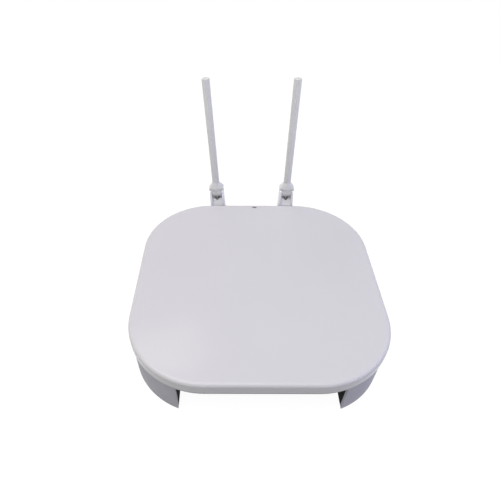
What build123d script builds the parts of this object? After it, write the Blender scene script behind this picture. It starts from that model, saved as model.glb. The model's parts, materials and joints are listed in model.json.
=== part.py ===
from build123d import *
import os

# Desktop wireless router: a rounded-square cover on a housing with a cable recess at the
# front, lined by a dark bay that holds the sockets, and two whip antennas on swivelling,
# tilting bases at the back.
# Millimetres, +Z up. Lengths along Y are measured from the middle of the cover, and save()
# moves everything by CENTRE_Y, so that the origin is under the middle of the whole object.

# ---- driving dimensions: case ----
COVER_SIZE = 200.0
COVER_CORNER = 60.5
COVER_HEIGHT = 9.2
COVER_FILLET = 3.0
COVER_WALL = 2.4
FOOT_PROUD = 1.2
HOUSING_HEIGHT = 31.9
HOUSING_INSET = 0.8
SIDE_WALL = 2.6
WALL = 2.2
NOTCH_HALF = 60.3
PORT_WALL_Y = -66.0
DECK_UNDER = 30.6
LIP_HEIGHT, LIP_WALL, LIP_GAP = 3.0, 1.6, 0.2
FLOOR_RIB_X, FLOOR_RIB_HALF, FLOOR_RIB_HIGH = 30.0, 0.8, 3.0
COVER_RIB_STEP, COVER_RIB_HALF, COVER_RIB_REACH, COVER_RIB_DEEP = 44.0, 0.6, 74.0, 2.0
VENT_PITCH, VENT_LENGTH, VENT_WIDE, VENT_Y, VENTS_EACH_SIDE = 7.0, 30.0, 2.2, 54.0, 6
WINDOW_X, WINDOW_Y, WINDOW_LONG, WINDOW_WIDE = 1.1, 95.4, 4.2, 2.0

# ---- driving dimensions: fixings, feet and label ----
FOOT_X, FOOT_Y, FOOT_R, FOOT_POCKET = 76.0, 64.0, 7.0, 1.0
SCREW_X, SCREW_Y = 69.0, 79.0
COLUMN_R, COLUMN_TOP = 5.0, 27.4
SCREW_SEAT, SCREW_WELL_R, SCREW_PASS_R = 17.4, 3.4, 1.75
SCREW_POST_R, SCREW_POST_BORE_R = 4.0, 1.5
BAY_SCREW_X, BAY_SCREW_BACK, BAY_POST_R, BAY_BORE_R = 36.0, 4.0, 2.6, 1.0
BAY_FLANGE_HALF, BAY_FLANGE_DEEP, BAY_FLANGE_THICK = 44.0, 7.0, 1.2
BAY_WELL, BAY_WELL_R, BAY_PASS_R = 1.4, 2.6, 1.2
CASE_SCREW = {"head_r": 3.0, "head_h": 2.2, "shank_r": 1.47, "length": 18.0}
BAY_SCREW = {"head_r": 2.3, "head_h": 1.3, "shank_r": 0.95, "length": 5.5}
BOARD_SCREW = {"head_r": 2.6, "head_h": 1.8, "shank_r": 1.2, "length": 6.0}
RECESS_WIDE, RECESS_DEEP = 0.8, 1.2
STANDOFF_X, STANDOFF_FRONT, STANDOFF_BACK = 55.0, -30.0, 62.0
STANDOFF_R, STANDOFF_BORE_R, BOARD_HOLE_R = 3.2, 1.25, 1.5
KEYHOLE_X, KEYHOLE_Y, KEYHOLE_R, KEYHOLE_SLOT_R, KEYHOLE_SLIDE = 50.0, 20.0, 4.25, 2.2, 9.0
LABEL_WIDE, LABEL_DEEP, LABEL_CORNER, LABEL_THICK, LABEL_Y = 70.0, 34.0, 2.0, 0.15, -22.0

# ---- driving dimensions: board and sockets ----
BOARD_HALF_X, BOARD_FRONT, BOARD_BACK = 62.0, -62.5, 86.0
BOARD_UNDER, BOARD_THICK = 9.0, 1.6
JACK_W, JACK_H, JACK_DEPTH, JACK_FRONT = 16.0, 13.4, 21.0, -66.4
JACK_SHEET, JACK_FIT = 0.3, 0.25
PLUG_W, PLUG_H, PLUG_DEPTH, PLUG_ABOVE_BOARD = 11.8, 8.2, 14.0, 2.5
LATCH_HALF, LATCH_ABOVE_BOARD = 3.2, 1.2
CONTACTS, CONTACT_PITCH, CONTACT_LONG, CONTACT_DROOP = 8, 1.02, 9.0, 16.0
CONTACT_WIDE, CONTACT_THICK, CONTACT_BACK = 0.42, 0.3, 1.6
WAN_X = -25.0
LAN_X = [-6.0 + 16.4 * step for step in range(4)]
POWER_JACK_X, BUTTON_X, RESET_X = -52.5, -40.5, 56.0
PORT_Z, RESET_Z = 17.1, 14.1
POWER_HALF, POWER_DEEP, POWER_HIGH = 4.5, 13.5, 11.4
POWER_WINDOW_R, POWER_BORE_R, POWER_BORE_DEEP, POWER_PIN_R = 4.4, 3.1, 10.0, 1.0
BUTTON_R, BUTTON_HOLE_R, BUTTON_PROUD, BUTTON_FLANGE_R, BUTTON_STEM_R = 4.0, 4.35, 2.2, 5.0, 1.6
RESET_HOLE_R, RESET_HEAD_R, RESET_STEM_R = 1.1, 1.9, 1.0

# ---- driving dimensions: parts on the board ----
CPU_X, CPU_Y, CPU_SIDE, CPU_HIGH, PAD_HIGH, PAD_SIDE = 14.0, 8.0, 17.0, 1.6, 0.6, 15.0
SINK_SIDE, SINK_PLATE, SINK_HIGH, FINS, FIN_THICK = 32.0, 2.5, 9.5, 8, 1.2
MEMORY_X, MEMORY_YS, MEMORY_WIDE, MEMORY_DEEP, MEMORY_HIGH = 44.0, (6.0, 24.0), 8.0, 13.0, 1.1
RADIO_X, RADIO_Y, RADIO_SIDE, RADIO_HIGH = -30.0, 42.0, 10.0, 1.0
CAN_WIDE, CAN_DEEP, CAN_HIGH = 36.0, 28.0, 3.2
TRANSFORMER_HALF, TRANSFORMER_FRONT, TRANSFORMER_DEEP, TRANSFORMER_HIGH = 7.0, -42.0, 8.0, 5.6
CAPACITOR_R, CAPACITOR_HIGH = 4.0, 9.5
CAPACITORS_AT = [(-53, -44), (-43, -44), (-53, -14), (-43, -14), (52, -14), (52, 40)]
INDUCTOR_SIDE, INDUCTOR_HIGH = 7.0, 4.0
INDUCTORS_AT = [(-54, 2), (-44, 2), (40, -14)]
LED_Y, LED_HALF_X, LED_HALF_Y, LED_HIGH = 83.5, 1.6, 0.8, 1.2
CONNECTOR_X, CONNECTOR_Y, CONNECTOR_HALF, CONNECTOR_R, CONNECTOR_HIGH = 20.0, 70.0, 1.5, 1.1, 1.8

# ---- driving dimensions: antennas ----
SWIVEL_X = {"left": -34.7, "right": 32.6}
SWIVEL_Z = 24.6
LEAN = {"left": -3.45, "right": -0.35}
ARM_FRONT, ARM_HALF_DEPTH, ARM_CORNER = 101.2, 4.6, 1.4
BARREL_R, BARREL_BORE_R, BARREL_CLEAR, BARREL_FRONT = 6.0, 3.2, 0.05, 87.4
BOSS_R, BOSS_FRONT = 9.0, 90.0
WASHER_R, WASHER_THICK, WASHER_SPACE = 7.8, 0.73, 0.9
GROOVE_FRONT, GROOVE_WIDE, GROOVE_R = 1.2, 1.3, 5.0
CLIP_R, CLIP_THICK, CLIP_MOUTH_HALF = 8.0, 1.1, 3.0
ARM_LOW_HALF, ARM_TOP_HALF = 7.9, 6.6
PIVOT_H = 29.5
FORK_HALF = 4.75
EAR_SQUARE = 2.6
SHELF_H, SHELF_SLOPE_DEEP, SHELF_SLOPE_DROP = 22.6, 2.6, 7.0
CHANNEL_R = 2.6
TONGUE_HALF, TONGUE_R = 4.4, 4.5
STUD_R, STUD_CLEAR, STUD_IN, STUD_OUT = 1.55, 0.05, 1.7, 6.4
COAX_R = 0.8
COAX_BEND, COAX_WIDE_BEND = 4.6, 12.0
COAX_CUT_Y = 97.0
ANTENNA_LENGTH, CAP_LENGTH, CAP_PLUG, CAP_ROUND = 110.0, 3.0, 4.0, 0.55
BLADE_BORE = 1.6
RIDGE_X, BLADE_CORNER = 0.35, 0.6
NECK_LOW, NECK_LOW_BACK, SHOULDER_LOW, SHOULDER_TOP = 3.2, 5.1, 5.2, 11.0
SHOULDER = (7.1, 4.45, 3.2)
BLADE_LOW = (3.3, 2.6, 1.3)
BLADE_TOP = (3.25, 2.5, 1.2)
FEED_H, SLEEVE_LOW, SLEEVE_R, WIRE_TOP, WIRE_R = 62.0, 34.0, 1.45, 96.0, 0.5

# ---- how far fused features run into each other, and cutting tools past a face ----
OVERLAP = 0.5
CUT = 1.0

# ---- levels and places that follow ----
FLOOR_TOP = FOOT_PROUD + WALL
RIM = FOOT_PROUD + HOUSING_HEIGHT
TOP = RIM + COVER_HEIGHT
CEILING = TOP - COVER_WALL
HALF = COVER_SIZE / 2
HOUSING_HALF = HALF - HOUSING_INSET
WALL_IN = HOUSING_HALF - SIDE_WALL
INNER = HOUSING_INSET + SIDE_WALL
PORT_WALL_IN = PORT_WALL_Y + WALL
BOARD_TOP = BOARD_UNDER + BOARD_THICK
FLANGE_FRONT = HOUSING_HALF + WASHER_SPACE
ANTENNA_Y, ARM_BACK = ARM_FRONT + ARM_HALF_DEPTH, ARM_FRONT + 2 * ARM_HALF_DEPTH
ARM_TOP = PIVOT_H + ARM_HALF_DEPTH
CAP_START = ANTENNA_LENGTH - CAP_LENGTH
CENTRE_Y = (HALF - ARM_BACK) / 2

JACK_X = [WAN_X] + LAN_X
SIDES = {"left": -1, "right": 1}
CORNERS = [(sx, sy) for sx in (-1, 1) for sy in (-1, 1)]
STANDOFFS = [(sx * STANDOFF_X, y) for sx in (-1, 1) for y in (STANDOFF_FRONT, STANDOFF_BACK)]
UPRIGHT = (Align.CENTER, Align.CENTER, Align.MIN)


# ---- small helpers ----
def block(x0, x1, y0, y1, z0, z1):
    """Box between two corners."""
    return Pos(x0, y0, z0) * Box(x1 - x0, y1 - y0, z1 - z0, align=Align.MIN)


def post(x, y, z0, z1, radius):
    """Cylinder standing along Z."""
    return Pos(x, y, z0) * Cylinder(radius, z1 - z0, align=UPRIGHT)


def rod_y(x, z, y0, y1, radius):
    """Cylinder lying along Y."""
    return Pos(x, y0, z) * Rot(-90, 0, 0) * Cylinder(radius, y1 - y0, align=UPRIGHT)


def rod_x(y, z, x0, x1, radius):
    """Cylinder lying along X."""
    return Pos(x0, y, z) * Rot(0, 90, 0) * Cylinder(radius, x1 - x0, align=UPRIGHT)


def slab(inset, z0, z1):
    """The cover's outline, inset, between two levels."""
    side = COVER_SIZE - 2 * inset
    outline = RectangleRounded(side, side, COVER_CORNER - inset)
    return Pos(0, 0, z0) * extrude(outline, z1 - z0)


def tube_along(points, radii, radius):
    """Round tube along straight runs joined by tangent arcs."""
    path = FilletPolyline(*points, radius=radii)
    section = Plane(origin=path @ 0, z_dir=path % 0) * Circle(radius)
    return sweep(section, path=path)


def fuse(first, others):
    """Union of a solid and a list of solids."""
    for other in others:
        first = first + other
    return first


def top_edges(solid):
    """Edges around the highest face."""
    return solid.faces().sort_by(Axis.Z)[-1].edges()


def group(solids):
    """Separate solids that share a node."""
    return Compound(list(solids))


def save(name, shape):
    """Write one node, moved so that the origin is under the middle of the object."""
    export_step(Pos(0, CENTRE_Y, 0) * shape, f"parts/{name}.step")


# ---- case ----
def recess(wall):
    """Space under the front of the cover, widened by a wall's thickness."""
    half = NOTCH_HALF + wall
    return block(-half, half, -HALF - CUT, PORT_WALL_Y + wall, 0, DECK_UNDER + wall)


def bottom_housing():
    inside = slab(INNER, 0, RIM + CUT)
    body = slab(HOUSING_INSET, FOOT_PROUD, RIM) - recess(0)
    body -= inside - block(-HALF, HALF, -HALF, HALF, 0, FLOOR_TOP)
    body -= inside & recess(WALL)
    lip_inset = COVER_WALL + LIP_GAP
    body += slab(lip_inset, RIM, RIM + LIP_HEIGHT) - slab(lip_inset + LIP_WALL, RIM - CUT, TOP)
    body = fuse(body, housing_posts())
    for sx, sy in CORNERS:
        body -= post(sx * SCREW_X, sy * SCREW_Y, 0, SCREW_SEAT, SCREW_WELL_R)
        body -= post(sx * SCREW_X, sy * SCREW_Y, 0, COLUMN_TOP + CUT, SCREW_PASS_R)
        body -= post(sx * FOOT_X, sy * FOOT_Y, 0, FOOT_PROUD + FOOT_POCKET, FOOT_R + 0.1)
    for x, y in STANDOFFS:
        body -= post(x, y, FLOOR_TOP + 0.6, BOARD_UNDER + CUT, STANDOFF_BORE_R)
    for side, sx in SIDES.items():
        bore_r = BARREL_R + BARREL_CLEAR
        body -= rod_y(SWIVEL_X[side], SWIVEL_Z, BOSS_FRONT - CUT, HALF, bore_r)
        body -= keyhole(sx * KEYHOLE_X)
        x, y = sx * BAY_SCREW_X, PORT_WALL_IN + BAY_SCREW_BACK
        body -= post(x, y, 0, FOOT_PROUD + BAY_WELL, BAY_WELL_R)
        body -= post(x, y, 0, FLOOR_TOP + CUT, BAY_PASS_R)
    return body - floor_vents()


def housing_posts():
    """Screw columns, board standoffs, swivel bosses and floor ribs."""
    low = FLOOR_TOP - OVERLAP
    rib_front = PORT_WALL_IN + BAY_FLANGE_DEEP + 0.5
    rib_top = FLOOR_TOP + FLOOR_RIB_HIGH
    back = WALL_IN + OVERLAP
    posts = [post(sx * SCREW_X, sy * SCREW_Y, low, COLUMN_TOP, COLUMN_R) for sx, sy in CORNERS]
    posts += [post(x, y, low, BOARD_UNDER, STANDOFF_R) for x, y in STANDOFFS]
    for side, sx in SIDES.items():
        x = sx * FLOOR_RIB_X
        posts.append(rod_y(SWIVEL_X[side], SWIVEL_Z, BOSS_FRONT, back, BOSS_R))
        near, far = x - FLOOR_RIB_HALF, x + FLOOR_RIB_HALF
        posts.append(block(near, far, rib_front, back, low, rib_top))
    return posts


def keyhole(x):
    """Round hole for a screw head with a narrow slot behind it for the neck."""
    top = FLOOR_TOP + CUT
    slot_end = KEYHOLE_Y + KEYHOLE_SLIDE
    head = post(x, KEYHOLE_Y, 0, top, KEYHOLE_R)
    neck = block(x - KEYHOLE_SLOT_R, x + KEYHOLE_SLOT_R, KEYHOLE_Y, slot_end, 0, top)
    return head + neck + post(x, slot_end, 0, top, KEYHOLE_SLOT_R)


def floor_vents():
    """Row of slots through the floor under the back of the board."""
    slot = extrude(Rot(0, 0, 90) * SlotOverall(VENT_LENGTH, VENT_WIDE), FLOOR_TOP + 0.2)
    steps = range(-VENTS_EACH_SIDE, VENTS_EACH_SIDE + 1)
    return group(Pos(step * VENT_PITCH, VENT_Y, 0) * slot for step in steps)


def port_bay():
    """Dark insert: the port wall, a cheek inside each leg and a deck, screwed down by a flange."""
    body = (recess(WALL) - recess(0)) & slab(INNER, FOOT_PROUD, RIM)
    flange_back = PORT_WALL_IN + BAY_FLANGE_DEEP
    body += block(-BAY_FLANGE_HALF, BAY_FLANGE_HALF, PORT_WALL_IN - OVERLAP, flange_back,
                  FLOOR_TOP, FLOOR_TOP + BAY_FLANGE_THICK)
    for sx in SIDES.values():
        x, y = sx * BAY_SCREW_X, PORT_WALL_IN + BAY_SCREW_BACK
        body += post(x, y, FLOOR_TOP, BOARD_UNDER - 0.1, BAY_POST_R)
        body -= post(x, y, FLOOR_TOP - CUT, BOARD_UNDER - 0.7, BAY_BORE_R)
    return body - port_wall_windows()


def port_wall_windows():
    """What is cut through the port wall."""
    front, back = PORT_WALL_Y - CUT, PORT_WALL_IN + CUT
    low, high = BOARD_TOP - 0.2, BOARD_TOP + JACK_H + JACK_FIT
    half = JACK_W / 2 + JACK_FIT
    wan = block(WAN_X - half, WAN_X + half, front, back, low, high)
    lan = block(LAN_X[0] - half, LAN_X[-1] + half, front, back, low, high)
    round_holes = [
        rod_y(POWER_JACK_X, PORT_Z, front, back, POWER_WINDOW_R),
        rod_y(BUTTON_X, PORT_Z, front, back, BUTTON_HOLE_R),
        rod_y(RESET_X, RESET_Z, front, back, RESET_HOLE_R),
    ]
    return fuse(wan + lan, round_holes)


def top_cover():
    outer = slab(0, RIM, TOP)
    outer = fillet(top_edges(outer), COVER_FILLET)
    body = outer - slab(COVER_WALL, RIM - CUT, CEILING)
    low, high = CEILING - COVER_RIB_DEEP, CEILING + 0.2
    for offset in (-COVER_RIB_STEP, 0, COVER_RIB_STEP):
        near, far = offset - COVER_RIB_HALF, offset + COVER_RIB_HALF
        body += block(near, far, -COVER_RIB_REACH, COVER_RIB_REACH, low, high)
        body += block(-COVER_RIB_REACH, COVER_RIB_REACH, near, far, low, high)
    for sx, sy in CORNERS:
        x, y = sx * SCREW_X, sy * SCREW_Y
        body += post(x, y, COLUMN_TOP + 0.1, high, SCREW_POST_R)
        body -= post(x, y, COLUMN_TOP, CEILING - CUT, SCREW_POST_BORE_R)
    window = extrude(SlotOverall(WINDOW_LONG, WINDOW_WIDE), COVER_HEIGHT)
    return body - Pos(WINDOW_X, WINDOW_Y, CEILING - CUT) * window


def rubber_feet():
    feet = []
    for sx, sy in CORNERS:
        foot = post(sx * FOOT_X, sy * FOOT_Y, 0, FOOT_PROUD + FOOT_POCKET - 0.05, FOOT_R)
        feet.append(chamfer(foot.edges().sort_by(Axis.Z)[0], 0.4))
    return group(feet)


def cross_screw(x, y, seat, flip, head_r, head_h, shank_r, length):
    """Pan-head screw with a cross recess, its shank up unless flipped."""
    head = Cylinder(head_r, head_h, align=(Align.CENTER, Align.CENTER, Align.MAX))
    head = fillet(head.edges().sort_by(Axis.Z)[0], head_h * 0.35)
    screw = head + Cylinder(shank_r, length, align=UPRIGHT)
    for turn in (0, 90):
        bit = Box(head_r * 1.15, RECESS_WIDE, RECESS_DEEP, align=UPRIGHT)
        screw -= Pos(0, 0, -head_h) * Rot(0, 0, turn) * bit
    return Pos(x, y, seat) * Rot(flip, 0, 0) * screw


def housing_screws():
    places = [(sx * SCREW_X, sy * SCREW_Y) for sx, sy in CORNERS]
    return group(cross_screw(x, y, SCREW_SEAT, 0, **CASE_SCREW) for x, y in places)


def bay_screws():
    y = PORT_WALL_IN + BAY_SCREW_BACK
    seat = FOOT_PROUD + BAY_WELL
    return group(cross_screw(sx * BAY_SCREW_X, y, seat, 0, **BAY_SCREW) for sx in SIDES.values())


def board_screws():
    return group(cross_screw(x, y, BOARD_TOP, 180, **BOARD_SCREW) for x, y in STANDOFFS)


def rating_label():
    sheet = extrude(RectangleRounded(LABEL_WIDE, LABEL_DEEP, LABEL_CORNER), LABEL_THICK)
    return Pos(0, LABEL_Y, FOOT_PROUD - LABEL_THICK) * sheet


# ---- board and what stands on it ----
def main_board():
    board = block(-BOARD_HALF_X, BOARD_HALF_X, BOARD_FRONT, BOARD_BACK, BOARD_UNDER, BOARD_TOP)
    for x, y in STANDOFFS:
        board -= post(x, y, 0, TOP, BOARD_HOLE_R)
    return board


def jack_insert(x):
    """Moulded socket body with a stepped plug cavity and a latch channel."""
    sheet = JACK_SHEET + 0.05
    half = JACK_W / 2 - sheet
    mouth, end = JACK_FRONT - CUT, JACK_FRONT + PLUG_DEPTH
    plug_low = BOARD_TOP + PLUG_ABOVE_BOARD
    body = block(x - half, x + half, JACK_FRONT, JACK_FRONT + JACK_DEPTH - sheet,
                 BOARD_TOP, BOARD_TOP + JACK_H - sheet)
    body -= block(x - PLUG_W / 2, x + PLUG_W / 2, mouth, end, plug_low, plug_low + PLUG_H)
    latch_low = BOARD_TOP + LATCH_ABOVE_BOARD
    return body - block(x - LATCH_HALF, x + LATCH_HALF, mouth, end, latch_low, plug_low + 0.1)


def jack_shield(x):
    """Folded sheet around a socket, open at the front and underneath."""
    half, back, top = JACK_W / 2, JACK_FRONT + JACK_DEPTH, BOARD_TOP + JACK_H
    inner_half = half - JACK_SHEET
    outer = block(x - half, x + half, JACK_FRONT, back, BOARD_TOP, top)
    return outer - block(x - inner_half, x + inner_half, JACK_FRONT - CUT, back - JACK_SHEET,
                         BOARD_TOP - CUT, top - JACK_SHEET)


def jack_contacts():
    """Eight sprung wires in the roof of each socket."""
    wires = []
    roof = BOARD_TOP + PLUG_ABOVE_BOARD + PLUG_H - 0.12
    wire = Box(CONTACT_WIDE, CONTACT_LONG, CONTACT_THICK, align=(Align.CENTER, Align.MIN, Align.MAX))
    for x in JACK_X:
        for index in range(CONTACTS):
            place = Pos(x + (index - (CONTACTS - 1) / 2) * CONTACT_PITCH, JACK_FRONT + CONTACT_BACK, roof)
            wires.append(place * Rot(-CONTACT_DROOP, 0, 0) * wire)
    return group(wires)


def power_jack():
    front = PORT_WALL_IN + 0.1
    body = block(POWER_JACK_X - POWER_HALF, POWER_JACK_X + POWER_HALF, front, front + POWER_DEEP,
                 BOARD_TOP, BOARD_TOP + POWER_HIGH)
    return body - rod_y(POWER_JACK_X, PORT_Z, front - CUT, front + POWER_BORE_DEEP, POWER_BORE_R)


def power_jack_pin():
    front = PORT_WALL_IN + 0.1
    pin = rod_y(POWER_JACK_X, PORT_Z, front + 1.2, front + POWER_BORE_DEEP, POWER_PIN_R)
    return fillet(pin.edges().sort_by(Axis.Y)[0], 0.6)


def power_button():
    flange_back = PORT_WALL_IN + 1.2
    cap = rod_y(BUTTON_X, PORT_Z, PORT_WALL_Y - BUTTON_PROUD, flange_back, BUTTON_R)
    cap = fillet(cap.edges().sort_by(Axis.Y)[0], 0.7)
    cap += rod_y(BUTTON_X, PORT_Z, flange_back - 1, flange_back, BUTTON_FLANGE_R)
    return cap + rod_y(BUTTON_X, PORT_Z, flange_back - 0.2, PORT_WALL_IN + 7.8, BUTTON_STEM_R)


def power_switch():
    """Latching switch with a bore that the button's stem slides in."""
    front = PORT_WALL_IN + 4.3
    body = block(BUTTON_X - 4, BUTTON_X + 4, front, front + 10, BOARD_TOP, BOARD_TOP + 10.5)
    return body - rod_y(BUTTON_X, PORT_Z, front - CUT, front + 6.6, BUTTON_STEM_R + 0.4)


def reset_button():
    head = rod_y(RESET_X, RESET_Z, PORT_WALL_IN + 0.6, PORT_WALL_IN + 2.2, RESET_HEAD_R)
    return head + rod_y(RESET_X, RESET_Z, PORT_WALL_IN + 2, PORT_WALL_IN + 5.2, RESET_STEM_R)


def reset_switch():
    """Small push switch with a bore for the reset button's stem."""
    front = PORT_WALL_IN + 3.3
    body = block(RESET_X - 3, RESET_X + 3, front, front + 4.2, BOARD_TOP, BOARD_TOP + 7)
    return body - rod_y(RESET_X, RESET_Z, front - CUT, front + 3.2, RESET_STEM_R + 0.35)


def chip(x, y, wide, deep, high):
    """Moulded package with a pin-one corner cut."""
    body = block(x - wide / 2, x + wide / 2, y - deep / 2, y + deep / 2, BOARD_TOP, BOARD_TOP + high)
    corner = body.edges().filter_by(Axis.Z).sort_by(Axis.X)[0]
    return chamfer(corner, 0.8)


def thermal_pad():
    return Pos(CPU_X, CPU_Y, BOARD_TOP + CPU_HIGH) * Box(PAD_SIDE, PAD_SIDE, PAD_HIGH, align=UPRIGHT)


def heat_sink():
    """Plate with upright fins, centred on the processor."""
    plate = Box(SINK_SIDE, SINK_SIDE, SINK_PLATE, align=UPRIGHT)
    fin = Box(FIN_THICK, SINK_SIDE, SINK_HIGH, align=UPRIGHT)
    first = (FIN_THICK - SINK_SIDE) / 2
    step = (SINK_SIDE - FIN_THICK) / (FINS - 1)
    sink = fuse(plate, [Pos(first + index * step, 0, 0) * fin for index in range(FINS)])
    return Pos(CPU_X, CPU_Y, BOARD_TOP + CPU_HIGH + PAD_HIGH) * sink


def radio_shield():
    """Folded can over the radio chip, open underneath."""
    can = Box(CAN_WIDE, CAN_DEEP, CAN_HIGH, align=UPRIGHT)
    inside = Box(CAN_WIDE - 2 * JACK_SHEET, CAN_DEEP - 2 * JACK_SHEET, 2 * (CAN_HIGH - JACK_SHEET))
    return Pos(RADIO_X, RADIO_Y, BOARD_TOP) * (can - inside)


def network_transformers():
    blocks = []
    for x in JACK_X:
        part = block(x - TRANSFORMER_HALF, x + TRANSFORMER_HALF, TRANSFORMER_FRONT,
                     TRANSFORMER_FRONT + TRANSFORMER_DEEP, BOARD_TOP, BOARD_TOP + TRANSFORMER_HIGH)
        blocks.append(chamfer(top_edges(part), 0.5))
    return group(blocks)


def capacitors():
    cans = []
    for x, y in CAPACITORS_AT:
        can = post(x, y, BOARD_TOP, BOARD_TOP + CAPACITOR_HIGH, CAPACITOR_R)
        cans.append(fillet(top_edges(can), 0.5))
    return group(cans)


def inductors():
    coils = []
    for x, y in INDUCTORS_AT:
        coil = Box(INDUCTOR_SIDE, INDUCTOR_SIDE, INDUCTOR_HIGH, align=UPRIGHT)
        coils.append(Pos(x, y, BOARD_TOP) * fillet(coil.edges().filter_by(Axis.Z), 1.0))
    return group(coils)


def status_led():
    front, back = LED_Y - LED_HALF_Y, LED_Y + LED_HALF_Y
    near, far = WINDOW_X - LED_HALF_X, WINDOW_X + LED_HALF_X
    return block(near, far, front, back, BOARD_TOP, BOARD_TOP + LED_HIGH)


def light_pipe():
    """Carries the indicator's light up from the board and back to the window."""
    half = 1.2
    front, back = LED_Y - half, LED_Y + half
    low, head_low, head_top = BOARD_TOP + 1.5, CEILING - 3.2, CEILING - 0.9
    head_front, head_back = WINDOW_Y - 1.2, WINDOW_Y + 0.9
    outline = [
        (front, low), (back, low), (back, head_low - 6.1), (head_front, head_low),
        (head_back, head_low), (head_back, head_top), (head_front - 0.5, head_top), (front, head_low - 4.7),
    ]
    face = make_face(Plane.YZ * Polyline(*outline, close=True))
    pipe = extrude(face, 2.0, both=True)
    stub_low = head_top - 1.6
    stub = extrude(SlotOverall(WINDOW_LONG - 0.2, WINDOW_WIDE - 0.2), TOP - OVERLAP - stub_low)
    return Pos(WINDOW_X, 0, 0) * (pipe + Pos(0, WINDOW_Y, stub_low) * stub)


# ---- swivels: fixed in the case ----
def coax_connectors():
    tops = []
    for sx in SIDES.values():
        x, half = sx * CONNECTOR_X, CONNECTOR_HALF
        base = block(x - half, x + half, CONNECTOR_Y - half, CONNECTOR_Y + half, BOARD_TOP, BOARD_TOP + 0.4)
        tops.append(base + post(x, CONNECTOR_Y, BOARD_TOP + 0.3, BOARD_TOP + CONNECTOR_HIGH, CONNECTOR_R))
    return group(tops)


def pigtail(side):
    """Coax from the board connector to the inside of the swivel barrel."""
    near, far = SIDES[side] * CONNECTOR_X, SWIVEL_X[side]
    points = [
        (near, CONNECTOR_Y, BOARD_TOP + CONNECTOR_HIGH),
        (near, CONNECTOR_Y, SWIVEL_Z),
        (far, CONNECTOR_Y + 12, SWIVEL_Z),
        (far, COAX_CUT_Y, SWIVEL_Z),
    ]
    return tube_along(points, [COAX_BEND, COAX_WIDE_BEND], COAX_R)


def swivel_washers():
    rings = []
    front = HOUSING_HALF + 0.02
    for x in SWIVEL_X.values():
        ring = rod_y(x, SWIVEL_Z, front, front + WASHER_THICK, WASHER_R)
        rings.append(ring - rod_y(x, SWIVEL_Z, front - CUT, ARM_FRONT, BARREL_R + 0.35))
    return group(rings)


# ---- antennas: each is built upright about its swivel axis, then leaned and moved ----
def side_place(side):
    return Pos(SWIVEL_X[side], 0, SWIVEL_Z) * Rot(0, LEAN[side], 0)


def arm_section(height):
    """Level section of the arm, which narrows from the swivel to the fork."""
    shrink = (ARM_LOW_HALF - ARM_TOP_HALF) / ARM_TOP
    width = 2 * (ARM_LOW_HALF - shrink * height)
    return Pos(0, ANTENNA_Y, height) * RectangleRounded(width, 2 * ARM_HALF_DEPTH, ARM_CORNER)


def swivel_base():
    """Barrel in the case and an arm with a fork, hollow for the coax."""
    wide = 2 * ARM_LOW_HALF
    low = -ARM_LOW_HALF - CUT
    arm = loft([arm_section(low), arm_section(ARM_TOP + CUT)], ruled=True)
    round_foot = rod_y(0, 0, ARM_FRONT, ARM_BACK, ARM_LOW_HALF)
    round_top = rod_x(ANTENNA_Y, PIVOT_H, -wide, wide, ARM_HALF_DEPTH)
    arm &= block(-wide, wide, ARM_FRONT, ARM_BACK, 0, ARM_TOP) + round_foot
    # the fork stays square in front of the pin, up to just under the antenna's shoulder
    square_front = block(-wide, wide, ARM_FRONT, ANTENNA_Y, low, PIVOT_H + EAR_SQUARE)
    arm &= block(-wide, wide, ARM_FRONT, ARM_BACK, low, PIVOT_H) + round_top + square_front
    arm += rod_y(0, 0, FLANGE_FRONT, ARM_FRONT + OVERLAP, WASHER_R)
    arm += rod_y(0, 0, BARREL_FRONT, ARM_FRONT, BARREL_R)
    groove_front = BARREL_FRONT + GROOVE_FRONT
    groove = rod_y(0, 0, groove_front, groove_front + GROOVE_WIDE, BARREL_R + CUT)
    arm -= groove - rod_y(0, 0, BARREL_FRONT, HALF, GROOVE_R)
    arm -= block(-FORK_HALF, FORK_HALF, HALF, ARM_BACK + CUT, SHELF_H, ARM_TOP + CUT)
    arm -= shelf_slope()
    arm -= post(0, ANTENNA_Y, 0, SHELF_H + CUT, CHANNEL_R)
    arm -= rod_y(0, 0, BARREL_FRONT - CUT, ANTENNA_Y, BARREL_BORE_R)
    return arm - rod_x(ANTENNA_Y, PIVOT_H, -wide, wide, STUD_R + 0.02)


def shelf_slope():
    """Wedge that slopes the shelf down to the front between the ears of the fork."""
    steep = SHELF_SLOPE_DROP / SHELF_SLOPE_DEEP
    outline = [
        (ARM_FRONT + SHELF_SLOPE_DEEP, SHELF_H),
        (ARM_FRONT - CUT, SHELF_H - SHELF_SLOPE_DROP - steep * CUT),
        (ARM_FRONT - CUT, SHELF_H + CUT),
        (ARM_FRONT + SHELF_SLOPE_DEEP, SHELF_H + CUT),
    ]
    return extrude(make_face(Plane.YZ * Polyline(*outline, close=True)), FORK_HALF, both=True)


def swivel_clip():
    """Spring ring in the barrel's groove, behind the boss."""
    front = BARREL_FRONT + GROOVE_FRONT + 0.1
    back = front + CLIP_THICK
    ring = rod_y(0, 0, front, back, CLIP_R) - rod_y(0, 0, front - CUT, back + CUT, GROOVE_R + 0.05)
    return ring - block(-CLIP_MOUTH_HALF, CLIP_MOUTH_HALF, front - CUT, back + CUT, -CLIP_R - CUT, 0)


def hinge_studs():
    spans = ((-STUD_OUT, -STUD_IN), (STUD_IN, STUD_OUT))
    return group(rod_x(ANTENNA_Y, PIVOT_H, x0, x1, STUD_R) for x0, x1 in spans)


def base_coax():
    end = PIVOT_H - COAX_R - 0.2
    points = [(0, COAX_CUT_Y + 0.3, 0), (0, ANTENNA_Y, 0), (0, ANTENNA_Y, end)]
    return tube_along(points, [COAX_BEND], COAX_R)


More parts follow.
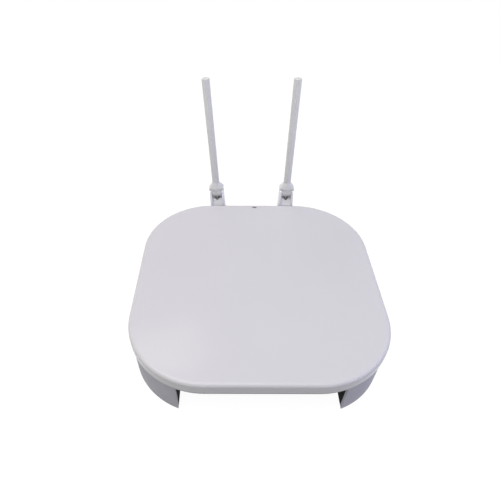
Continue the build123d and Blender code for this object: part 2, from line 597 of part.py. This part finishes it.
def blade_section(half_x, half_y, edge, level):
    """Flat six-sided section with a low ridge front and back and rounded corners."""
    corners = [
        (-half_x, -edge), (RIDGE_X, -half_y), (half_x, -edge),
        (half_x, edge), (RIDGE_X, half_y), (-half_x, edge),
    ]
    face = make_face(Polyline(*corners, close=True))
    return Pos(0, ANTENNA_Y, PIVOT_H + level) * fillet(face.vertices(), BLADE_CORNER)


def radome():
    """Antenna cover: a tongue in the fork, a wide shoulder and a long blade, bored for the radiator."""
    wide = 2 * TONGUE_HALF
    shoulder = extrude(blade_section(*SHOULDER, NECK_LOW), SHOULDER_LOW - NECK_LOW)
    shoulder -= rod_x(ANTENNA_Y, PIVOT_H, -wide, wide, ARM_HALF_DEPTH + 0.35)
    # the back is cut higher, so that the shoulder clears the fork when the antenna lies flat
    shoulder -= block(-wide, wide, ANTENNA_Y, ARM_BACK, PIVOT_H, PIVOT_H + NECK_LOW_BACK)
    blade_start = blade_section(*BLADE_LOW, SHOULDER_TOP)
    taper = loft([blade_section(*SHOULDER, SHOULDER_LOW), blade_start], ruled=True)
    blade = loft([blade_start, blade_section(*BLADE_TOP, CAP_START)], ruled=True)
    tongue = extrude(blade_section(*SHOULDER, 0), SHOULDER_LOW)
    tongue &= block(-TONGUE_HALF, TONGUE_HALF, ARM_FRONT, ARM_BACK, PIVOT_H, PIVOT_H + SHOULDER_LOW)
    tongue += rod_x(ANTENNA_Y, PIVOT_H, -TONGUE_HALF, TONGUE_HALF, TONGUE_R)
    body = shoulder + taper + blade + tongue
    slot_half = COAX_R + 0.5
    slot_front = ANTENNA_Y - slot_half - 0.1
    body -= block(-slot_half, slot_half, slot_front, ARM_BACK, PIVOT_H - 7, PIVOT_H + 5.5)
    body -= rod_x(ANTENNA_Y, PIVOT_H, -wide, wide, STUD_R + STUD_CLEAR)
    return body - post(0, ANTENNA_Y, PIVOT_H, PIVOT_H + ANTENNA_LENGTH, BLADE_BORE)


def tip_cap():
    low = PIVOT_H + CAP_START
    cap = extrude(blade_section(*BLADE_TOP, CAP_START), CAP_LENGTH)
    cap = fillet(top_edges(cap), CAP_ROUND)
    return cap + post(0, ANTENNA_Y, low - CAP_PLUG, low + OVERLAP, BLADE_BORE - 0.03)


def radiator():
    """Brass sleeve below the feed point and a wire above it."""
    feed = PIVOT_H + FEED_H
    sleeve = post(0, ANTENNA_Y, PIVOT_H + SLEEVE_LOW, feed, SLEEVE_R)
    sleeve -= post(0, ANTENNA_Y, PIVOT_H, feed + CUT, COAX_R + 0.15)
    return group([sleeve, post(0, ANTENNA_Y, feed, PIVOT_H + WIRE_TOP, WIRE_R)])


def antenna_coax():
    line = post(0, ANTENNA_Y, PIVOT_H, PIVOT_H + FEED_H, COAX_R)
    return line + Pos(0, ANTENNA_Y, PIVOT_H) * Sphere(COAX_R)


# ---- write every node ----
PARTS = {
    "bottom_housing": bottom_housing,
    "port_bay": port_bay,
    "top_cover": top_cover,
    "rubber_feet": rubber_feet,
    "housing_screws": housing_screws,
    "bay_screws": bay_screws,
    "board_screws": board_screws,
    "rating_label": rating_label,
    "main_board": main_board,
    "jack_contacts": jack_contacts,
    "power_jack": power_jack,
    "power_jack_pin": power_jack_pin,
    "power_button": power_button,
    "power_switch": power_switch,
    "reset_button": reset_button,
    "reset_switch": reset_switch,
    "thermal_pad": thermal_pad,
    "heat_sink": heat_sink,
    "radio_shield": radio_shield,
    "network_transformers": network_transformers,
    "capacitors": capacitors,
    "inductors": inductors,
    "status_led": status_led,
    "light_pipe": light_pipe,
    "coax_connectors": coax_connectors,
    "swivel_washers": swivel_washers,
}
SIDE_PARTS = {
    "swivel_base": swivel_base,
    "swivel_clip": swivel_clip,
    "hinge_studs": hinge_studs,
    "base_coax": base_coax,
    "radome": radome,
    "tip_cap": tip_cap,
    "radiator": radiator,
    "antenna_coax": antenna_coax,
}

os.makedirs("parts", exist_ok=True)
for part_name, make in PARTS.items():
    save(part_name, make())
save("wan_jack", jack_insert(WAN_X))
for number, lan_x in enumerate(LAN_X, 1):
    save(f"lan_jack_{number}", jack_insert(lan_x))
save("jack_shields", group(jack_shield(x) for x in JACK_X))
save("processor", chip(CPU_X, CPU_Y, CPU_SIDE, CPU_SIDE, CPU_HIGH))
save("memory_chips", group(chip(MEMORY_X, y, MEMORY_WIDE, MEMORY_DEEP, MEMORY_HIGH) for y in MEMORY_YS))
save("radio_chip", chip(RADIO_X, RADIO_Y, RADIO_SIDE, RADIO_SIDE, RADIO_HIGH))
for side in SIDES:
    save(f"{side}_pigtail", pigtail(side))
    for part_name, make in SIDE_PARTS.items():
        save(f"{side}_{part_name}", side_place(side) * make())
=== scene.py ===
"""Looks of the desktop wireless router: materials, fine details, studio and camera."""
import json
import math

import bmesh
import bpy
from mathutils import Matrix, Vector


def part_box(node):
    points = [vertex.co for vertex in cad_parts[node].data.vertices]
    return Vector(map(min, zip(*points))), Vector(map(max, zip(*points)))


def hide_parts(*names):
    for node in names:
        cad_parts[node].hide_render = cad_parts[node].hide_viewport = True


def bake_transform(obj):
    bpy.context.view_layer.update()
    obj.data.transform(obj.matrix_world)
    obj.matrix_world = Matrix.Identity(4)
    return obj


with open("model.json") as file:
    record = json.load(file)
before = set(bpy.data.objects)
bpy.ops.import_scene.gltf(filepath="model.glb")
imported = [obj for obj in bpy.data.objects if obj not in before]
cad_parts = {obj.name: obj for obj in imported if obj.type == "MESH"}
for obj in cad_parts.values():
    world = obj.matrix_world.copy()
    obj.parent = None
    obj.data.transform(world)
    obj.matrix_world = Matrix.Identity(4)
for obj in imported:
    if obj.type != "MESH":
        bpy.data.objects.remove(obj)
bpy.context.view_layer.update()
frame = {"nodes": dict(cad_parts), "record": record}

MM = 0.001
SIDES = ("left", "right")

# coax lead, in metres
LEAD_BEND = 4.6 * MM
LEAD_RADIUS = 0.8 * MM
LEAD_STUB = 1.2 * MM  # straight part inside the swivel barrel
LEAD_STEP = 1.2 * MM  # between the rings of its tube
BEND_STEPS = 8  # runs in its quarter turn

# rating label, in metres
LABEL_INSET = 2.0 * MM
LABEL_LINE = 0.35 * MM
LABEL_PITCH = 5.0 * MM
LABEL_RULES_END = 10 * MM
LABEL_BLOCK_X = 22 * MM
LABEL_BLOCK_HALF = 7.5 * MM

# studio, in metres and in light values where 1 is white
FLOOR_REACH = 6.0
FLOOR_TONE = (0.06, 0.06, 0.06)
FLOOR_GLOW = 0.96
SKY_LOW = (1.0, 1.0, 1.0)
SKY_HIGH = (0.2, 0.2, 0.2)
SKY_FADE = 0.35

# camera: place in metres, angles in radians, lens in millimetres
CAMERA_PLACE = Vector((-20.7, -243.7, 296.0)) * MM
CAMERA_DOWN = math.radians(45.22)  # below the horizon
CAMERA_TURN = 0.0051
CAMERA_ROLL = 0.0076
CAMERA_LENS = 30.02
CAMERA_SHIFT = (0.0322, 0.0316)

scene = bpy.context.scene
scene.view_settings.view_transform = "Standard"


# ---- node helpers ----
class Graph:
    """A material's node tree around one Principled shader."""

    def __init__(self, name):
        self.material = bpy.data.materials.new(name)
        self.material.use_nodes = True
        self.nodes = self.material.node_tree.nodes
        self.links = self.material.node_tree.links
        self.shader = self.nodes["Principled BSDF"]
        self.place = self.add("ShaderNodeTexCoord").outputs["Object"]

    def add(self, kind, **settings):
        node = self.nodes.new(kind)
        for key, value in settings.items():
            setattr(node, key, value)
        return node

    def join(self, source, target):
        self.links.new(source, target)

    def put(self, **values):
        """Fixed values on the shader's own sockets."""
        for key, value in values.items():
            self.shader.inputs[key.replace("_", " ")].default_value = value

    def noise(self, scale, detail=4.0, rough=0.55, stretch=(1, 1, 1)):
        """Noise over the object, scale in features per metre."""
        mapping = self.add("ShaderNodeMapping")
        mapping.inputs["Scale"].default_value = stretch
        self.join(self.place, mapping.inputs["Vector"])
        node = self.add("ShaderNodeTexNoise")
        node.inputs["Scale"].default_value = scale
        node.inputs["Detail"].default_value = detail
        node.inputs["Roughness"].default_value = rough
        self.join(mapping.outputs["Vector"], node.inputs["Vector"])
        return node.outputs["Fac"]

    def spread(self, value, low, high, start=0.3, end=0.7):
        """Value carried over from the range start to end to the range low to high."""
        node = self.add("ShaderNodeMapRange")
        limits = {"From Min": start, "From Max": end, "To Min": low, "To Max": high}
        for key, number in limits.items():
            node.inputs[key].default_value = number
        self.join(value, node.inputs["Value"])
        return node.outputs["Result"]

    def mix(self, factor, first, second):
        """Mix of first and second, each a colour or a colour socket."""
        node = self.add("ShaderNodeMix", data_type="RGBA")
        self.join(factor, node.inputs["Factor"])
        for key, colour in (("A", first), ("B", second)):
            socket = next(s for s in node.inputs if s.name == key and s.type == "RGBA")
            if isinstance(colour, bpy.types.NodeSocket):
                self.join(colour, socket)
            else:
                socket.default_value = (*colour, 1.0)
        return next(s for s in node.outputs if s.type == "RGBA")

    def math(self, operation, first, second=0.0):
        """Result of one operation on sockets or numbers."""
        node = self.add("ShaderNodeMath", operation=operation)
        for socket, value in zip(node.inputs, (first, second)):
            if isinstance(value, bpy.types.NodeSocket):
                self.join(value, socket)
            else:
                socket.default_value = value
        return node.outputs[0]

    def axes(self):
        """X, Y and Z of the place, in metres."""
        node = self.add("ShaderNodeSeparateXYZ")
        self.join(self.place, node.inputs[0])
        return node.outputs

    def facing_up(self):
        """How far the surface faces up, from 0 on a wall to 1 on a level face."""
        node = self.add("ShaderNodeSeparateXYZ")
        self.join(self.add("ShaderNodeTexCoord").outputs["Normal"], node.inputs[0])
        return node.outputs["Z"]

    def bump(self, height, distance, strength=1.0, soften=0.0):
        """Bump in metres, over edges softened by a radius in metres."""
        node = self.add("ShaderNodeBump")
        node.inputs["Distance"].default_value = distance
        node.inputs["Strength"].default_value = strength
        self.join(height, node.inputs["Height"])
        if soften:
            edge = self.add("ShaderNodeBevel", samples=6)
            edge.inputs["Radius"].default_value = soften
            self.join(edge.outputs["Normal"], node.inputs["Normal"])
        self.join(node.outputs["Normal"], self.shader.inputs["Normal"])


def shade(colour, factor):
    return tuple(min(1.0, channel * factor) for channel in colour)


def mottled(g, pattern, colour, variation):
    """Colour that goes a little darker and lighter with a pattern."""
    darker, lighter = shade(colour, 1.0 - variation), shade(colour, 1.0 + variation)
    return g.mix(g.spread(pattern, 0.0, 1.0), darker, lighter)


def moulded(name, colour, rough, grain=900.0, depth=0.012 * MM, variation=0.03,
            gloss_spread=0.05, soften=0.25 * MM):
    """Moulded plastic: fine spark-eroded grain, slow changes of tone and gloss, soft edges."""
    g = Graph(name)
    slow = g.noise(14.0, detail=3.0)
    fine = g.noise(grain, detail=3.0, rough=0.6)
    tone = mottled(g, slow, colour, variation)
    g.join(tone, g.shader.inputs["Base Color"])
    mid = g.noise(70.0, detail=5.0)
    g.join(g.spread(mid, rough - gloss_spread, rough + gloss_spread), g.shader.inputs["Roughness"])
    g.bump(fine, depth, soften=soften)
    g.put(IOR=1.5)
    return g


def metal(name, colour, rough, stretch=(1, 1, 1), grain=500.0, variation=0.08):
    """Metal with drawn or rolled marks, which stretch draws out along one direction."""
    g = Graph(name)
    marks = g.noise(grain, detail=3.0, stretch=stretch)
    patches = g.noise(60.0, detail=4.0)
    tone = mottled(g, patches, colour, variation)
    g.join(tone, g.shader.inputs["Base Color"])
    g.join(g.spread(marks, rough * 0.75, rough * 1.35), g.shader.inputs["Roughness"])
    g.bump(marks, 0.006 * MM, soften=0.06 * MM)
    g.put(Metallic=1.0)
    return g


# ---- materials, one for each slot of the record ----
def cover_plastic():
    """Polished cover, slightly wavy, with a faint speck, and painted shade: its walls and rim face
    are darker than its level top.
    """
    g = Graph("cover_plastic")
    colour = (0.487, 0.477, 0.492)
    slow = g.noise(9.0, detail=3.0)
    tone = mottled(g, slow, colour, 0.015)
    # painted shade: the tone falls to 70% on walls, so the rim face reads darker than the lit top
    level = g.spread(g.facing_up(), 0.0, 1.0, 0.2, 0.98)
    tone = g.mix(level, shade(colour, 0.70), tone)
    speck = g.noise(1500.0, detail=2.0)
    tone = g.mix(g.spread(speck, 0.0, 0.25, 0.62, 0.75), tone, shade(colour, 0.93))
    g.join(tone, g.shader.inputs["Base Color"])
    handling = g.noise(45.0, detail=6.0, rough=0.65)
    g.join(g.spread(handling, 0.13, 0.2), g.shader.inputs["Roughness"])
    wave = g.noise(30.0, detail=2.0)
    g.bump(wave, 0.02 * MM, soften=0.15 * MM)
    g.put(IOR=1.5, Specular_IOR_Level=0.17)
    return g


def housing_plastic():
    """Matt shell, a darker and slightly blue grey than the cover: painted shade standing in for
    the shade under the cover's overhang.
    """
    # painted shade: the shell's pale plastic is given a darker, slightly blue grey, so the legs
    # read shaded under the cover
    g = moulded("housing_plastic", (0.232, 0.230, 0.257), 0.55)
    g.put(Specular_IOR_Level=0.3)
    return g


def board_laminate():
    """Green solder mask with copper runs under it and tinned pads."""
    g = Graph("board_laminate")
    runs = g.add("ShaderNodeTexBrick", offset=0.37, squash=1.0)
    mapping = g.add("ShaderNodeMapping")
    mapping.inputs["Rotation"].default_value = (0.0, 0.0, math.radians(90))
    g.join(g.place, mapping.inputs["Vector"])
    g.join(mapping.outputs["Vector"], runs.inputs["Vector"])
    runs.inputs["Scale"].default_value = 1.0
    runs.inputs["Mortar Size"].default_value = 0.22 * MM
    runs.inputs["Brick Width"].default_value = 13 * MM
    runs.inputs["Row Height"].default_value = 1.3 * MM
    mask = g.mix(runs.outputs["Fac"], (0.012, 0.085, 0.035), (0.03, 0.16, 0.06))
    pads = g.add("ShaderNodeTexVoronoi")
    pads.inputs["Scale"].default_value = 260.0
    pads.inputs["Randomness"].default_value = 0.8
    g.join(g.place, pads.inputs["Vector"])
    dots = g.spread(pads.outputs["Distance"], 1.0, 0.0, 0.16, 0.2)
    g.join(g.mix(dots, mask, (0.62, 0.60, 0.52)), g.shader.inputs["Base Color"])
    g.join(g.spread(g.noise(300.0), 0.25, 0.4), g.shader.inputs["Roughness"])
    g.bump(runs.outputs["Fac"], 0.03 * MM)
    return g


def label_paper():
    """Blank rating label: white film with a printed frame, rules and a plain block."""
    g = Graph("label_paper")
    low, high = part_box("rating_label")
    centre, half = (low + high) / 2, (high - low) / 2
    x, y, _ = g.axes()
    across = g.math("ABSOLUTE", g.math("SUBTRACT", x, centre.x))
    along = g.math("ABSOLUTE", g.math("SUBTRACT", y, centre.y))
    beyond = g.math("MAXIMUM",
                    g.math("SUBTRACT", across, half.x - LABEL_INSET),
                    g.math("SUBTRACT", along, half.y - LABEL_INSET))
    border = g.math("LESS_THAN", g.math("ABSOLUTE", beyond), LABEL_LINE / 2)
    ripple = g.math("PINGPONG", g.math("SUBTRACT", y, centre.y), LABEL_PITCH)
    row = g.math("LESS_THAN", ripple, LABEL_LINE / 2)
    inside = g.math("LESS_THAN", beyond, 0.0)
    beside = g.math("LESS_THAN", x, LABEL_RULES_END)
    rules = g.math("MULTIPLY", row, g.math("MULTIPLY", inside, beside))
    square = g.math("MAXIMUM", g.math("ABSOLUTE", g.math("SUBTRACT", x, LABEL_BLOCK_X)), along)
    block = g.math("LESS_THAN", square, LABEL_BLOCK_HALF)
    ink = g.math("MAXIMUM", g.math("MAXIMUM", border, rules), g.math("MULTIPLY", block, 0.55))
    paper = g.mix(g.spread(g.noise(800.0), 0.0, 1.0), (0.74, 0.74, 0.73), (0.80, 0.80, 0.79))
    g.join(g.mix(ink, paper, (0.12, 0.12, 0.13)), g.shader.inputs["Base Color"])
    g.join(g.spread(g.noise(200.0), 0.38, 0.5), g.shader.inputs["Roughness"])
    return g


def foot_rubber():
    """Matt rubber with a coarse tooth."""
    g = moulded("foot_rubber", (0.10, 0.10, 0.105), 0.82,
                grain=450.0, depth=0.05 * MM, variation=0.12)
    g.put(IOR=1.45)
    return g


def lens_plastic():
    """Smoke-tinted light guide."""
    g = moulded("lens_plastic", (0.12, 0.115, 0.12), 0.15, depth=0.004 * MM, gloss_spread=0.03)
    g.put(Coat_Weight=0.5, Coat_Roughness=0.05)
    return g


def bay_plastic():
    """Near-black textured insert that hardly shines."""
    g = moulded("bay_plastic", (0.006, 0.005, 0.007), 0.85,
                grain=700.0, depth=0.03 * MM, variation=0.1)
    g.put(Specular_IOR_Level=0.05)
    return g


# slots that need no nodes beyond those of moulded and metal: colour, roughness and settings
PLASTICS = {
    "antenna_plastic": ((0.525, 0.52, 0.515), 0.40, {"soften": 0.2 * MM}),
    "base_plastic": ((0.72, 0.71, 0.72), 0.40, {"soften": 0.3 * MM}),
    "stud_plastic": ((0.62, 0.61, 0.63), 0.45, {}),
    "button_plastic": ((0.42, 0.42, 0.44), 0.35, {}),
    "jack_plastic": ((0.03, 0.03, 0.033), 0.5, {}),
    "wan_jack_plastic": ((0.03, 0.09, 0.32), 0.45, {}),
    "chip_plastic": ((0.022, 0.022, 0.024), 0.6, {"grain": 1400.0, "depth": 0.02 * MM}),
    "washer_nylon": ((0.62, 0.62, 0.60), 0.4, {}),
    "ferrite": ((0.045, 0.045, 0.05), 0.7, {"grain": 1100.0, "depth": 0.03 * MM}),
    "cable_jacket": ((0.58, 0.57, 0.57), 0.35,
                     {"grain": 300.0, "depth": 0.01 * MM, "soften": 0.0}),
    "pad_silicone": ((0.30, 0.38, 0.46), 0.75,
                     {"grain": 1600.0, "depth": 0.03 * MM, "variation": 0.08}),
}
METALS = {
    "tinned_sheet": ((0.62, 0.62, 0.62), 0.28, {"stretch": (1, 8, 8)}),
    "gold_plate": ((0.80, 0.56, 0.20), 0.22, {"stretch": (6, 1, 6)}),
    "brass": ((0.66, 0.46, 0.18), 0.3, {"stretch": (8, 8, 1)}),
    "steel": ((0.46, 0.46, 0.47), 0.32, {}),
    "black_aluminium": ((0.05, 0.05, 0.055), 0.42, {"stretch": (8, 1, 8)}),
    "can_aluminium": ((0.30, 0.31, 0.36), 0.3, {"stretch": (1, 1, 6)}),
}
OWN_NODES = {
    "cover_plastic": cover_plastic,
    "board_laminate": board_laminate,
    "label_paper": label_paper,
    "foot_rubber": foot_rubber,
    "lens_plastic": lens_plastic,
    "housing_plastic": housing_plastic,
    "bay_plastic": bay_plastic,
}


def dress_nodes():
    """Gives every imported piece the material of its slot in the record."""
    made = {slot: make().material for slot, make in OWN_NODES.items()}
    for family, table in ((moulded, PLASTICS), (metal, METALS)):
        for slot, (colour, rough, settings) in table.items():
            made[slot] = family(slot, colour, rough, **settings).material
    for row in frame["record"]["subparts"]:
        piece = frame["nodes"][row["node"]]
        piece.data.materials.clear()
        piece.data.materials.append(made[row["material_slot"]])
    return made


# ---- details too fine or too soft for the frame ----
def mesh_piece(name, build, material):
    """An object from a bmesh that build fills in."""
    bm = bmesh.new()
    build(bm)
    mesh = bpy.data.meshes.new(name)
    bm.to_mesh(mesh)
    bm.free()
    mesh.materials.append(material)
    piece = bpy.data.objects.new(name, mesh)
    scene.collection.objects.link(piece)
    return piece


def ring(bm, centre, side, up, radius, count):
    """Vertices round a point, in the plane of side and up."""
    turns = [2 * math.pi * step / count for step in range(count)]
    return [bm.verts.new(centre + radius * (math.cos(t) * side + math.sin(t) * up)) for t in turns]


def tube(bm, points, radius, count=16):
    """Closed round tube through points that lie in one plane."""
    side = (points[1] - points[0]).cross(points[-1] - points[-2]).normalized()
    rings = []
    for index, point in enumerate(points):
        before, after = points[max(index - 1, 0)], points[min(index + 1, len(points) - 1)]
        up = (after - before).cross(side).normalized()
        rings.append(ring(bm, point, side, up, radius, count))
    for low, high in zip(rings, rings[1:]):
        for step in range(count):
            after = (step + 1) % count
            bm.faces.new((low[step], low[after], high[after], high[step]))
    bm.faces.new(rings[0])
    bm.faces.new(reversed(rings[-1]))
    bmesh.ops.recalc_face_normals(bm, faces=bm.faces)
    for face in bm.faces:
        face.smooth = len(face.verts) == 4


def coax_lead(side, jacket):
    """One coax from the swivel's barrel up into the antenna, bending across the tilt hinge."""
    swivel, tilt = (joint_place(f"{side}_{name}") for name in ("swivel", "tilt"))
    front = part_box(f"{side}_base_coax")[0].y
    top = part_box(f"{side}_antenna_coax")[1].z
    up = (tilt - swivel).normalized()
    back = Vector((0, 1, 0))
    points = [Vector((swivel.x, front + LEAD_STUB * part, swivel.z)) for part in (0, 0.5, 1)]
    centre = swivel - LEAD_BEND * back + LEAD_BEND * up
    for step in range(BEND_STEPS + 1):
        turn = math.radians(90 * step / BEND_STEPS)
        points.append(centre + LEAD_BEND * (math.sin(turn) * back - math.cos(turn) * up))
    reach = (top - points[-1].z) / up.z
    steps = int(reach / LEAD_STEP)
    corner = points[-1].copy()
    points += [corner + up * reach * step / steps for step in range(1, steps + 1)]
    lead = mesh_piece(f"{side}_coax_lead", lambda bm: tube(bm, points, LEAD_RADIUS), jacket)
    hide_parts(f"{side}_base_coax", f"{side}_antenna_coax")
    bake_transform(lead)


def joint_place(name):
    """Point that a joint turns about."""
    joints = frame["record"]["behaviour"]["joints"]
    return Vector(next(joint["pos_m"] for joint in joints if joint["name"] == name))


materials = dress_nodes()
for side in SIDES:
    coax_lead(side, materials["cable_jacket"])


# ---- studio ----
def floor_paper():
    """Studio paper with a faint mottle, which glows so that it stays pale in shade."""
    g = Graph("floor_paper")
    tone = g.mix(g.spread(g.noise(3.0), 0.0, 1.0), shade(FLOOR_TONE, 0.995), FLOOR_TONE)
    g.join(tone, g.shader.inputs["Base Color"])
    g.put(Roughness=0.9, Specular_IOR_Level=0.1)
    g.put(Emission_Color=(1.0, 1.0, 1.0, 1.0), Emission_Strength=FLOOR_GLOW)
    return g.material


def floor():
    """Pale paper that runs well past the view on every side."""
    def sheet(bm):
        bmesh.ops.create_grid(bm, x_segments=8, y_segments=8, size=FLOOR_REACH)

    paper = mesh_piece("floor", sheet, floor_paper())


def softbox(name, place, target, wide, high, radiance, colour, mirrored=True):
    """Area light aimed at a point, and seen in glossy surfaces only if mirrored."""
    light = bpy.data.lights.new(name, "AREA")
    light.shape = "RECTANGLE"
    light.size, light.size_y = wide, high
    light.color = colour
    light.energy = radiance * math.pi * wide * high
    holder = bpy.data.objects.new(name, light)
    holder.location = place
    holder.rotation_euler = (Vector(place) - Vector(target)).to_track_quat("Z", "Y").to_euler()
    holder.visible_glossy = mirrored
    scene.collection.objects.link(holder)


def sky():
    """Soft dome, about as bright as the paper at the horizon and dim above it."""
    world = bpy.data.worlds.new("dome")
    scene.world = world
    world.use_nodes = True
    nodes, links = world.node_tree.nodes, world.node_tree.links
    place = nodes.new("ShaderNodeTexCoord")
    split = nodes.new("ShaderNodeSeparateXYZ")
    ramp = nodes.new("ShaderNodeValToRGB")
    ramp.color_ramp.elements[0].color = (*SKY_LOW, 1.0)
    ramp.color_ramp.elements[1].color = (*SKY_HIGH, 1.0)
    ramp.color_ramp.elements[1].position = SKY_FADE
    links.new(place.outputs["Generated"], split.inputs[0])
    links.new(split.outputs["Z"], ramp.inputs["Fac"])
    links.new(ramp.outputs["Color"], nodes["Background"].inputs["Color"])
    nodes["Background"].inputs["Strength"].default_value = 1.0


def camera():
    """Photograph's view: about 45 degrees down over the front edge."""
    level = math.cos(CAMERA_DOWN)
    ahead = Vector((math.sin(CAMERA_TURN) * level,
                    math.cos(CAMERA_TURN) * level,
                    -math.sin(CAMERA_DOWN)))
    right = ahead.cross(Vector((0, 0, 1))).normalized()
    up = right.cross(ahead)
    across = math.cos(CAMERA_ROLL) * right + math.sin(CAMERA_ROLL) * up
    above = -math.sin(CAMERA_ROLL) * right + math.cos(CAMERA_ROLL) * up
    attitude = Matrix((across, above, -ahead)).transposed().to_4x4()
    data = bpy.data.cameras.new("camera")
    data.sensor_width = 36.0
    data.lens = CAMERA_LENS
    data.shift_x, data.shift_y = CAMERA_SHIFT
    data.clip_start, data.clip_end = 0.01, 50.0
    holder = bpy.data.objects.new("camera", data)
    holder.matrix_world = Matrix.Translation(CAMERA_PLACE) @ attitude
    scene.collection.objects.link(holder)
    scene.camera = holder


floor()
sky()
softbox("key", place=(-0.4, -0.25, 1.6), target=(0, -0.1, 0),
        wide=1.6, high=1.5, radiance=4.8, colour=(1.0, 0.995, 0.985))
softbox("left_fill", place=(-1.3, 0.2, 0.35), target=(0, 0, 0.02),
        wide=0.8, high=0.6, radiance=1.2, colour=(0.92, 0.88, 1.0), mirrored=False)
softbox("right_fill", place=(1.3, -0.1, 0.38), target=(0, 0, 0.02),
        wide=1.4, high=0.7, radiance=4.0, colour=(0.47, 0.52, 1.0), mirrored=False)
softbox("window", place=(-0.24, 0.45, 0.87), target=(-0.072, -0.08, 0.04),
        wide=0.26, high=0.13, radiance=4.2, colour=(1.0, 0.93, 0.84))
camera()
